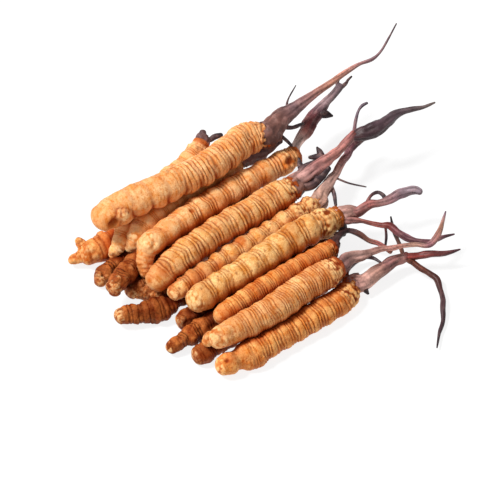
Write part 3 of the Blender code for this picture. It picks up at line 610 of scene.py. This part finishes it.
def skin_relief(look, along, length, base, place, closing):
    """Height of a larva's skin over its round form, and the marks that go with it.

    Within a segment a plain band is followed by narrow folds, each an arched ridge
    between two creases, which soft noise shifts and fades. A segment swells about
    the middle of its band and has its waist among its folds, and lobes swell along
    the lower flank. Over them lie lumps, crumbs at the pale ends, pits, a row of
    ringed pores, red-brown stains, and single knobs or holes. The head's rim is dark.
    The marks also paint light and shade: a highlight on the ridge tops, shade towards
    the underside, and in the creases, clefts and waists a darkening that is partly
    painted shade.
    """
    seed = look.seed * 10

    def noise(size, number=0):
        return soft_noise(place, size, seed + number)

    plain = look.plain
    angle = np.linspace(0, 2 * math.pi, SKIN_SIDES, endpoint=False)[None, :]
    share = (along / length)[:, None]
    segment = share * look.segments + 0.1 * noise(3.6)
    segment = segment + 0.03 * noise(1.1, 1)
    phase = segment - np.floor(segment)
    into_folds = np.clip((phase - plain) / (1 - plain), 0, 1)
    uneven = 0.35 * np.sin(math.pi * into_folds) * noise(2.2, 10)
    folded = np.abs(np.sin(math.pi * (into_folds * look.folds + uneven)))
    band = 1 - np.abs(2 * np.clip(phase / plain, 0, 1) - 1) ** 5
    ridge = np.where(phase < plain, band, folded ** 1.5)
    fade = rise(look.start - 0.06, look.start + 0.1, share)
    fade = np.clip(fade * (0.8 + 0.6 * noise(2.4, 2)), 0, 1)
    relief = -look.depth * fade * (1 - ridge)
    # the fold valleys are darkened, partly as painted shade
    crease = 0.85 * rise(0.35, 1.0, 1 - ridge) * fade
    # a painted highlight on the ridge tops
    painted_highlight = rise(0.6, 1.0, ridge) * (0.5 + 0.7 * noise(1.2, 13))

    # waists between the segments, and lobes along the lower flank
    swell = 0.5 + 0.5 * np.cos(2 * math.pi * (phase - plain / 2))
    started = rise(0.02, 0.1, share)
    relief -= look.groove * started * (1 - swell) ** 1.3
    flank = rise(0.5, 1.0, np.cos(angle - math.radians(LOBE_ANGLE)))
    flank = flank * started * (1 - rise(0.9, 1, share))
    lobe = np.abs(np.sin(math.pi * (segment - plain / 2 + 0.5 + 0.2 * noise(4, 15))))
    relief += look.lobes * flank * (lobe ** 0.7 - 0.4)
    # the clefts between lobes and the waists are darkened, partly as painted shade
    cleft = flank * rise(0.5, 0.95, 1 - lobe) * min(1, 3 * look.lobes)
    crease = np.maximum(crease, cleft)
    crease = np.maximum(crease, 0.3 * rise(0.8, 1.0, 1 - swell) * started)

    # lumps, and the crumbly ends
    relief += 0.06 * base * noise(3.4, 3)
    relief += look.lumpy * noise(1.4, 4) + 0.05 * noise(0.5, 5)
    at_tail, at_head = (max(value, 1e-3) for value in look.pale)
    pale = np.maximum(1 - rise(0.6, 1.1, (share + 0.02) / at_tail),
                      1 - rise(0.6, 1.1, (1 - share) / at_head))
    pale = pale * (0.75 + 0.5 * noise(1.4, 6))
    crumb = pebbles(place, 0.95, seed + 7)
    relief += np.where(share > 0.5, 0.6, 0.22) * pale * (0.55 - crumb)
    crease = crease * (1 - 0.5 * np.clip(pale, 0, 1))

    # pits and pores
    pock = pebbles(place, 1.4, seed + 8)
    pit = look.pits * (1 - rise(0.1, 0.3, pock)) * (noise(2.0, 9) > -0.1)
    relief -= 0.12 * pit
    across = np.abs(wrapped(angle - math.radians(PORE_ANGLE))) * base
    pore_off = np.hypot((phase - plain / 2) * length / look.segments, across)
    on_body = (share > 0.1) & (share < 0.8)
    relief += on_body * (0.09 * np.exp(-((pore_off - PORE_RAISED) / 0.16) ** 2)
                         - 0.1 * np.exp(-(pore_off / PORE) ** 2))
    pit = np.maximum(pit, on_body * 0.6 * np.exp(-(pore_off / 0.2) ** 2))
    pit = np.maximum(pit, on_body * 0.3 * np.exp(-((pore_off - PORE_RINGED) / 0.15) ** 2))

    # stains, and then knobs and holes
    ruddy = look.ruddy * rise(-0.35, 0.5, noise(2.8, 12))
    # painted shade: darker and redder towards the underside
    ruddy = np.maximum(ruddy, (0.35 + look.dark) * rise(0.75, -0.5, np.sin(angle + 0.2)))
    for start, stop, strength in look.stains:
        window = (rise(start - 0.03, start + 0.03, share)
                  * (1 - rise(stop - 0.03, stop + 0.03, share)))
        ruddy = np.maximum(ruddy, strength * window * (0.75 + 0.4 * noise(1.6, 14)))
        pale = pale * (1 - 0.85 * strength * window)
    for along_at, angle_at, size, height, paleness in look.bumps:
        turn = wrapped(angle - math.radians(angle_at))
        off = np.hypot(along[:, None] - along_at, turn * base)
        off = off * (1 + 0.25 * noise(1.1, 16))
        dome = 1 - rise(0.35 * size, size, off)
        relief += height * dome
        pale = np.maximum(pale, paleness * dome)
        for arc_at in (0.5, 0.85):
            arc = np.exp(-((off / size - arc_at) / 0.1) ** 2)
            crease = np.maximum(crease, (paleness > ARCS_OVER) * arc * (turn > 0))
        ruddy = np.maximum(ruddy, 0.6 * np.exp(-((off - size) / 0.3) ** 2))
        if height < 0:
            pit = np.maximum(pit, dome)
            ruddy = np.maximum(ruddy, 1 - rise(0.8 * size, 1.8 * size, off))

    # dark between the crumbs, and the rim of the head
    ruddy = np.maximum(ruddy, pale * rise(0.5, 0.75, crumb))
    between = np.clip(1.3 * pale, 0, 1) * rise(0.5, 0.75, crumb)
    crease = np.maximum(crease, (share > 0.5) * between)
    rim = rise(length + RIM[0], length + RIM[1], along)[:, None]
    ruddy, crease = np.maximum(ruddy, rim), np.maximum(crease, 0.75 * rim)
    pale = pale * (1 - rise(0.45, 0.65, crumb)) * (1 - rim)
    relief *= closing[:, None] ** 0.5
    marks = {"crease": crease, "pale": pale, "pit": pit, "ruddy": ruddy, "painted_highlight": painted_highlight}
    return relief, {key: np.clip(value, 0, 1) for key, value in marks.items()}


# ---- the stromata
# The stem of each stroma: points (forward, left, up, radius) from the head's end.
STEMS = {
    "stroma_01": [
        (0.5, 0, 0, 1.9), (2, -1, 0, 1.9), (4, -1, 0, 1.9), (6, -1, 0.5, 1.75), (8.5, -1, 0.5, 1.55),
        (11, -1, 1, 1.4), (13.5, -1.5, 1, 1.15), (14.5, -2, 1.5, 1.05)],
    "stroma_02": [
        (0.5, 0, 0, 1.2), (2, 0.5, 0, 1.2), (4.5, 0.5, 0, 0.9), (7, 0, 0, 0.6), (8.5, -1, -0.5, 0.45),
        (9, -3, -0.5, 0.3)],
    "stroma_03": [(0.5, 0, 0, 1.1), (1.5, 0, 0, 1.1), (4, 0, 0, 0.8), (6.5, -0.5, 0, 0.5)],
    "stroma_04": [(0.5, 0, 0, 1.1), (1.5, 0, 0, 1.1), (4, 0, 0, 0.8), (5.5, -0.5, 0, 0.5)],
    "stroma_05": [
        (0.5, 0, 0, 1.2), (2.5, 0.5, 0, 1.2), (5.5, 0.5, 0, 0.9), (8.5, 0.5, 0, 0.6), (10.5, 0.5, 0, 0.35)],
    "stroma_06": [
        (0.5, 0, 0, 1.2), (2.5, 0.5, 0, 1.2), (5, 0.5, 0, 0.9), (8, 0, 0, 0.6), (10.5, 0.5, 0, 0.4)],
    "stroma_07": [
        (0.5, 0, 0, 1.1), (2.5, 0.5, 0, 1.1), (5, 0.5, 0, 0.85), (8, 0.5, 0, 0.55), (9.5, 0.5, 0, 0.35)],
    "stroma_08": [
        (0.5, 0, 0, 1.3), (2, -0.5, 0, 1.3), (5, -0.5, 0, 1), (8, -0.5, 0, 0.7), (10, -0.5, 0, 0.4)],
    "stroma_09": [
        (0.5, 0, 0, 1.1), (2, 0, 0, 1.1), (5, 0, 0, 0.85), (7.5, -0.5, 0, 0.55), (9.5, -0.5, 0, 0.35)],
    "stroma_10": [
        (0.5, 0, 0, 1.75), (3, 0.5, 0, 1.75), (5, 0.5, 0, 1.5), (7, -0.5, 0, 1.3), (9, -1, 0, 0.95),
        (11.5, -1.5, 0, 0.65), (14, -2.5, -0.5, 0.65), (16.5, -3.5, -0.5, 0.55), (19, -5, -0.5, 0.55),
        (20.5, -6.5, -0.5, 0.65), (22, -7, -0.5, 0.8), (24, -6.5, 0, 0.8), (26, -5.5, 0.5, 0.6),
        (28, -4, 1, 0.4), (29.5, -3, 2, 0.2)],
    "stroma_11": [
        (0.5, 0, 0, 1.1), (2, 1.2, 0, 1), (3.5, 2, 0, 0.9), (5.5, 2.5, -0.5, 0.7), (7, 2.5, -1, 0.65),
        (8.5, 0.5, -1.5, 0.7), (9.5, -1.5, -2.5, 0.6), (11, -3.5, -3, 0.6), (12.5, -6, -4.5, 0.6)],
    "stroma_12": [(0.5, 0, 0, 1.9), (3, -0.5, 0.5, 1.7), (4.5, -1.5, 0.5, 1.3)],
    "stroma_13": [
        (0.5, 0, 0, 1.8), (2, 1, 0.5, 1.7), (4.5, 2, 1, 1.5), (6.5, 3, 1, 1.2), (8.5, 3.8, 1, 1),
        (11, 5.2, 1.5, 0.95), (13.5, 6.2, 1.5, 0.95), (15.5, 7.5, 1.5, 1), (18, 8, 1.5, 0.9),
        (20.5, 8, 1.5, 0.5)],
    "stroma_14": [
        (0.5, 0, 0, 2.3), (2, 0.5, 0, 2.3), (4, 0.5, 0.5, 2.1), (6.5, 0.5, 1, 1.9), (9, 0.5, 1.5, 1.6),
        (11.5, 0.5, 2, 1.35), (14, 0.5, 2.5, 1.15), (17, 1, 3.5, 1.15), (19.5, 1.5, 4, 1.1)],
    "stroma_15": [
        (0.5, 0.8, 0.2, 1.4), (3, 2.2, 0.6, 1.2), (6, 3.2, 1.5, 1.6), (8.5, 4.5, 2, 1.75),
        (11.5, 5.5, 2.5, 1.6), (14, 6, 3.5, 1.2), (16.5, 6.5, 4, 1.05), (19.5, 7.5, 4.5, 0.9)],
    "stroma_16": [(0.5, 0, 0, 1.3), (1.5, 1.5, 0.5, 1.5), (2, 2, 1, 0.9)],
    "stroma_17": [
        (0.5, 0, 0, 2), (4, -1, 0, 2.1), (6, -1, 0.3, 2), (8.5, -1.2, 0.5, 1.5), (10.5, -1.5, 0.5, 0.9)],
    "stroma_18": [
        (0.5, 0, 0, 2.7), (5, 1.2, 1, 2.4), (8, 1.2, 1.5, 1.8), (11, 1, 2.5, 1.3), (14, 1, 3, 1),
        (19.5, 0.5, 4.5, 0.8), (22.5, 0.5, 5, 0.7), (27, 0, 6, 0.5), (30.5, -1, 6.5, 0.42),
        (33, -1, 7.5, 0.3), (36, 0, 9, 0.25), (39.5, 1.5, 10.5, 0.2)],
}

# Limbs beyond a main fork, each named after its stem; points from the same head's end.
LIMBS = {
    "stroma_01_upper_limb": [
        (15, -2.5, 1.5, 1), (17, -3.5, 1.5, 0.9), (19, -5, 2, 0.8), (21, -6.5, 2, 0.7), (23, -7.5, 2, 0.55),
        (25, -8.5, 2.5, 0.2)],
    "stroma_01_lower_limb": [
        (14.5, -3, 1, 0.75), (15, -3.5, 0.5, 0.75), (15.5, -5.5, 0, 0.75), (16.5, -8, -0.5, 0.75),
        (17, -10, -1, 0.75), (16, -12.5, -1.5, 0.7), (14.5, -15.5, -1.5, 0.68), (12.5, -18, -1.5, 0.62),
        (10.5, -20.5, -2, 0.55), (7.5, -23, -2, 0.42), (4.5, -26, -2, 0.2)],
    "stroma_01_back_limb": [
        (14.5, -0.5, 1, 0.5), (15.5, 1.5, 0.5, 0.55), (16.5, 4, 0.5, 0.5), (18, 7.5, 0, 0.4),
        (20, 11, 0, 0.25)],
    "stroma_12_upper_limb": [
        (5, -2, 0.5, 1.25), (8, -2.5, 1.5, 1.15), (10, -3.5, 1.5, 1), (12, -4.5, 2, 1.1),
        (15, -5, 2.5, 1.25), (17, -6, 3, 1.1), (18, -7, 3.5, 1.05), (18.5, -8, 3.5, 0.8)],
    "stroma_12_lower_limb": [
        (1.5, -2, 0, 1), (3, -2.5, -0.5, 0.9), (4.5, -4, -0.5, 0.6), (6, -5.5, -1, 0.55),
        (7.5, -7.5, -1, 0.65), (9, -9, -1, 0.85), (9.5, -11.5, -1.5, 0.9), (10.5, -14, -2, 0.85),
        (12, -16, -2, 0.6), (14.5, -17.5, -2.5, 0.5), (17, -18, -2.5, 0.55), (20, -19, -2.5, 0.2)],
    "stroma_14_thin_limb": [
        (20, 2, 4, 0.5), (22, 4, 4.5, 0.4), (24, 5.5, 5.5, 0.35), (25.5, 6, 6, 0.4), (27, 6, 6, 0.3)],
    "stroma_14_main_limb": [
        (19, 1.2, 3.8, 0.9), (20.5, 0.9, 3.8, 1.5), (22.5, 0.2, 4, 2), (25.5, -0.5, 4.5, 1.7),
        (28, -0.5, 5, 1.4), (31, -0.6, 5.5, 1.05), (34, -1.5, 5.6, 0.75), (36.5, -3, 6, 0.5),
        (39.5, -3.5, 6, 0.25)],
    "stroma_15_left_limb": [(19.5, 7.5, 4.5, 0.55), (19.5, 8.5, 5, 0.5), (20.5, 9, 5.5, 0.4)],
    "stroma_15_right_limb": [
        (19.5, 7, 4.5, 0.5), (21, 7, 5, 0.45), (22, 7.5, 5, 0.35), (23, 7.5, 5.5, 0.25)],
}

# Small twigs, grown together with what they stand on: (stem or limb, points).
TWIGS = [
    ("stroma_18", [(7, 2, 1, 0.3), (9.5, 4, 2, 0.25), (13, 5.5, 3.5, 0.15)]),
    ("stroma_18", [(4, -1, 0, 0.7), (6.5, -1, -1, 0.55), (10, -1, -2, 0.45)]),
    ("stroma_18", [(3, -1.5, -0.5, 0.55), (3.5, -3, -1.5, 0.45), (4, -4.5, -2.5, 0.35)]),
    ("stroma_15", [(11.5, 5, 3, 1.3), (12.4, 3.5, 3, 1), (13.2, 2.3, 3, 0.35)]),
    ("stroma_14", [(2.5, 2, 0.6, 1.1), (5, 2.1, 1.2, 1), (7.5, 1.9, 1.7, 0.8), (10, 1.4, 2.1, 0.5)]),
    ("stroma_14", [(4.5, 1.8, 0.8, 1), (5.2, 3.2, 1.4, 0.8), (6, 4.8, 1.9, 0.4)]),
    ("stroma_14", [(11, 1, 2, 1.1), (10, 2.3, 2, 1), (8, 3.3, 2.4, 0.4)]),
    ("stroma_14", [(10, 2, 2, 1), (10.8, 3, 2.4, 0.8), (11, 4.3, 2.9, 0.3)]),
    ("stroma_14", [(5.5, -1, 0.5, 0.9), (6.5, -2, 0.5, 0.6), (8, -2.5, 0.5, 0.2)]),
    ("stroma_14", [(1.5, -1.2, -0.3, 1.3), (4, -1.8, -0.2, 1.2), (7, -1.8, 0.3, 1), (10, -1.2, 1.2, 0.7)]),
    ("stroma_13", [(7.5, 2.5, 1, 0.3), (9, 0, 0.5, 0.25), (11.5, -3.5, 0.5, 0.15)]),
    ("stroma_13", [(6, 1.5, 0.5, 0.5), (4.5, -0.5, 0, 0.5), (3, -3, -0.5, 0.4)]),
    ("stroma_12", [(0.5, -0.8, -0.8, 1.4), (0.4, -2, -2, 1.2), (0.1, -2.8, -3.2, 0.7)]),
    ("stroma_12_upper_limb", [
        (7, -2, 1.5, 0.5), (9.5, -1, 2, 0.4), (11.5, -1, 2, 0.45), (12, -2.5, 2, 0.5), (11.5, -4, 2, 0.5)]),
    ("stroma_12_lower_limb", [(8, -8.5, -1, 0.35), (7.5, -9.5, -3, 0.32), (6.5, -10.5, -4.5, 0.3)]),
    ("stroma_01", [(2, -1.5, -0.5, 1), (2, -2.5, -1, 0.7), (2, -3.5, -1.5, 0.3)]),
    ("stroma_16", [(1, 1, 0.5, 0.8), (2.5, 0, 0, 0.7), (4, 0, 0, 0.7), (5.5, -0.5, 0, 0.5)]),
]

# Tones along a stem or limb, from its root to its tip: (share of its length, colour).
TONES = {
    "stroma_01": [
        (0, "#7A4A46"), (0.12, "#A87870"), (0.28, "#DCA898"), (0.45, "#B88878"), (0.7, "#92605C"),
        (0.97, "#9A6A62"), (1, "#702E28")],
    "stroma_01_upper_limb": [(0, "#8A342C"), (0.6, "#70302E"), (1, "#4A2C34")],
    "stroma_01_lower_limb": [
        (0, "#7A3C24"), (0.2, "#5C2A1C"), (0.35, "#4C2420"), (0.5, "#44292C"), (1, "#34242A")],
    "stroma_01_back_limb": [(0, "#7A4630"), (0.5, "#5A3830"), (1, "#2F2428")],
    "stroma_10": [
        (0, "#6A4A46"), (0.1, "#8A625C"), (0.2, "#B88C80"), (0.3, "#AC8074"), (0.5, "#BC7E70"),
        (0.62, "#C0907A"), (0.72, "#8C5C64"), (0.8, "#B87C70"), (0.88, "#BE866C"), (1, "#7A6070")],
    "stroma_11": [
        (0, "#5A302A"), (0.35, "#2F1C1C"), (0.5, "#3E2424"), (0.7, "#7A4C3C"), (0.85, "#A8605A"),
        (1, "#804430")],
    "stroma_12": [(0, "#7A4440"), (0.15, "#8E5A54"), (0.35, "#DCAAA0"), (0.6, "#CC9A8C"), (1, "#A87A70")],
    "stroma_12_upper_limb": [
        (0, "#8A5A54"), (0.25, "#A8605A"), (0.4, "#B07A74"), (0.65, "#8A6A72"), (0.85, "#98828A"),
        (1, "#84727A")],
    "stroma_12_lower_limb": [
        (0, "#B88078"), (0.15, "#98665E"), (0.3, "#A2544A"), (0.42, "#72261F"), (0.55, "#7A4A50"),
        (0.75, "#865860"), (1, "#5E444A")],
    "stroma_13": [
        (0, "#D4A48C"), (0.3, "#B48C80"), (0.5, "#B8867C"), (0.7, "#84525A"), (0.85, "#4E2A2E"),
        (1, "#3A2428")],
    "stroma_14": [
        (0, "#7E5448"), (0.12, "#9A6E62"), (0.25, "#C09088"), (0.4, "#A26C68"), (0.7, "#C07C70"),
        (0.95, "#A86A66"), (1, "#8A4C46")],
    "stroma_14_main_limb": [
        (0, "#462A2E"), (0.3, "#422E34"), (0.6, "#54444A"), (0.85, "#6A5A5A"), (1, "#6E5E56")],
    "stroma_14_thin_limb": [(0, "#9A6260"), (0.5, "#7A6470"), (1, "#5A5058")],
    # stroma_15's two palest tones at its root are painted light, lifting the shadow that larva_18's head
    # casts there
    "stroma_15": [
        (0, "#FFE4D8"), (0.24, "#F6D2C6"), (0.34, "#A4645C"), (0.42, "#743030"), (0.54, "#6E383C"),
        (0.64, "#7A5A60"), (0.74, "#907678"), (1, "#5E4C52")],
    "stroma_16": [(0, "#7A5450"), (1, "#6A4A4A")],
    "stroma_17": [(0, "#8A6258"), (0.5, "#9A7470"), (1, "#7A5E60")],
    "stroma_18": [
        (0, "#6E4840"), (0.12, "#86594E"), (0.25, "#745658"), (0.36, "#A0706A"), (0.5, "#C8866E"),
        (0.6, "#C08474"), (0.75, "#906A70"), (1, "#5A4A4E")],
}
PLAIN_TONES = [(0, "#7A5A58"), (0.4, "#5E4244"), (1, "#2F2024")]
TWIG_TONES = [(0.5, "#4A363A"), (1, "#2C2226")]   # past its root, which has its stalk's tone
STALK_DUST, STALK_GRAIN, STALK_FURROWS = "#C49A90", "#3A1E20", "#2A1618"
STALKS = {  # roughness, and how dusty
    "stroma_purple_brown": (0.6, 0.3),
    "stroma_blackish": (0.5, 0.08),
    "stroma_red_brown": (0.5, 0.15),
}


def tone_along(stops, share):
    """Linear colour at each share of the length, blended between the stops, hex codes or linear."""
    at = [stop[0] for stop in stops]
    colours = np.array([linear(tone) if isinstance(tone, str) else tone for _, tone in stops])
    return np.stack([np.interp(share, at, colours[:, n]) for n in range(3)], axis=-1)


def stalk(points, sides, seed, stops, root=0.0):
    """One stalk of a stroma: its part for add_piece, and its marks.

    A tube along a smooth path. Its radius is shrivelled by about five lengthwise
    furrows that wander round it and by lumps stretched along it. Over the first
    millimetres, as far as root, it is wider and crumbly.
    """
    turn = np.linspace(0.15, math.pi / 2, 6, endpoint=False)[::-1]
    middle, radius, along, length, last = round_tipped(points, STROMA_STEP, turn, 0.8)
    if root:
        radius = radius * (1 + ROOT_FLARE * (1 - rise(ROOT_DEPTH, root, along)))
    share = np.clip(along / length, 0, 1)
    angle = np.linspace(0, 2 * math.pi, sides, endpoint=False)
    local = np.stack([radius[:, None] * np.cos(angle), radius[:, None] * np.sin(angle),
                      np.repeat(along[:, None], sides, axis=1)], axis=-1)
    long_lumps = soft_noise(local * (1, 1, 0.22), 0.55, seed)
    wander = 0.9 * soft_noise(local * (0.5, 0.5, 0.3), 1.2, seed + 1)
    furrow = np.abs(np.sin(2.5 * angle[None, :] + 0.12 * along[:, None] + wander)) ** 0.5
    lumps = soft_noise(local, 1.5, seed + 2)
    relief = (0.2 * (furrow - 1) + 0.14 * long_lumps + 0.12 * lumps) * radius[:, None]
    if root:
        crumbly = (1 - rise(0.5 * root, root, along))[:, None]
        relief += crumbly * 0.5 * (0.5 - pebbles(local, 0.7, seed + 3))
    rings = round_skin(middle, np.clip(radius[:, None] + relief, 0.05, None))
    streak = rise(-0.4, 0.6, long_lumps)[..., None]
    marks = {"tone": tone_along(stops, share)[:, None, :] * (0.68 + 0.6 * streak),
             "crease": np.clip((1 - furrow) * 1.3 - 0.25, 0, 1) * 0.8}
    return (rings, middle[0], last), marks


def nearest_on(path, point):
    """Number of the point of a path that is nearest to one given."""
    return np.linalg.norm(path[:, :3] - point, axis=1).argmin()


def build_stroma(name, points, heads, paths, materials, seed):
    """A stem, or a limb that starts inside its stem, with the twigs that grow from it."""
    stem = name[:len("stroma_00")]
    head, way = heads[stem.replace("stroma", "larva")]
    points = np.array(points, float)
    points[:, :3] += head
    if name == stem:
        root = head - way * ROOT_DEPTH
    else:
        behind = points[0, :3] - 0.5 * (points[1, :3] - points[0, :3])
        root = paths[stem][nearest_on(paths[stem], behind), :3]
    points = np.vstack([np.append(root, points[0, 3] * 0.9), points])
    path = paths[name] = smooth_path(points, 0.1)
    stops = TONES.get(name, PLAIN_TONES)
    stalks = [stalk(points, STEM_SIDES, seed, stops, ROOT_END if name == stem else 0.0)]
    for number, (owner, twig) in enumerate(TWIGS):
        if owner != name:
            continue
        twig = np.array(twig, float)
        twig[:, :3] += head
        near = nearest_on(path, twig[0, :3])
        twig[0, :3] = path[near, :3]
        tones = [(0, tone_along(stops, near / len(path)))] + TWIG_TONES
        stalks.append(stalk(twig, TWIG_SIDES, seed + 5 + number, tones))
    slot = RECORD_SLOTS[name]
    return add_piece(name, stalks, materials[slot])


# ---- studio
CAMERA_RIGHT = Vector((0.790, -0.613, 0.0))
CAMERA_UP = Vector((0.4555, 0.587, 0.669))
AIM = Vector((-0.0195, -0.0025, 0.0190))  # what the middle of the picture shows
CAMERA_AWAY = 4.0        # metres: a long lens sees it nearly without perspective
PICTURE_WIDTH = 0.115    # metres across the picture, at the bundle
SKY_STRENGTH = 0.42
LAMP_STRENGTH = 3.65
LAMP_WIDTH = 16          # degrees across, for soft edges
LAMP_FROM = Vector((-0.43, 0.30, 0.81))
FLOOR_HALF = 3.0         # metres
FLOOR_DROP = 0.0001      # metres below the bellies
FLOOR_TONE = "#707070"
FLOOR_GLOW = 0.84        # makes it plain white, with soft shadows


def add_camera():
    """A long lens from the front left, 48 degrees up."""
    data = bpy.data.cameras.new("camera")
    data.sensor_width = 36.0
    data.lens = data.sensor_width * CAMERA_AWAY / PICTURE_WIDTH
    data.clip_start, data.clip_end = 0.1, 50.0
    camera = bpy.data.objects.new("camera", data)
    back = CAMERA_RIGHT.cross(CAMERA_UP).normalized()
    camera.location = AIM + back * CAMERA_AWAY
    camera.rotation_euler = (-back).to_track_quat("-Z", "Y").to_euler()
    bpy.context.scene.collection.objects.link(camera)
    bpy.context.scene.camera = camera


def add_light():
    """Even white light from all round, and a soft lamp from the upper left."""
    world = bpy.data.worlds.new("studio")
    world.use_nodes = True
    background = world.node_tree.nodes["Background"]
    background.inputs["Color"].default_value = (1, 1, 1, 1)
    background.inputs["Strength"].default_value = SKY_STRENGTH
    bpy.context.scene.world = world
    data = bpy.data.lights.new("soft_lamp", "SUN")
    data.energy = LAMP_STRENGTH
    data.angle = math.radians(LAMP_WIDTH)
    lamp = bpy.data.objects.new("soft_lamp", data)
    lamp.rotation_euler = LAMP_FROM.to_track_quat("Z", "Y").to_euler()
    bpy.context.scene.collection.objects.link(lamp)


def add_floor():
    """A plain white table top."""
    mesh = bpy.data.meshes.new("floor")
    half = FLOOR_HALF
    mesh.from_pydata([(-half, -half, 0), (half, -half, 0), (half, half, 0), (-half, half, 0)], [],
                     [(0, 1, 2, 3)])
    mesh.materials.append(new_material("white_table", {
        "Base Color": paint(FLOOR_TONE), "Roughness": 0.8,
        "Emission Color": (1, 1, 1, 1), "Emission Strength": FLOOR_GLOW})[0])
    floor = bpy.data.objects.new("floor", mesh)
    floor.location = (0, 0, -FLOOR_DROP)
    bpy.context.scene.collection.objects.link(floor)


# ---- assembly
skins = {key: dried_skin("dried_skin_" + key, *tones) for key, (_, *tones) in SKINS.items()}
stalks = {name: dried_stroma(name, *look) for name, look in STALKS.items()}
heads, forms, paths = {}, {}, {}
for name, look in LARVAE.items():
    _, _, middle, base, _ = body_form(name, look)
    forms[name] = (middle[::4], base[::4, 0])
for name, look in LARVAE.items():
    build_larva(name, look, skins[look.skin], forms)
    middles, _ = solid_rings(name)
    heads[name] = (middles[-1], unit(middles[-1] - middles[-2]))
for seed, (name, points) in enumerate(STEMS.items()):
    build_stroma(name, points, heads, paths, stalks, 300 + 40 * seed)
for seed, (name, points) in enumerate(LIMBS.items()):
    build_stroma(name, points, heads, paths, stalks, 1100 + 40 * seed)

add_camera()
add_light()
add_floor()
bpy.context.scene.view_settings.view_transform = "Standard"
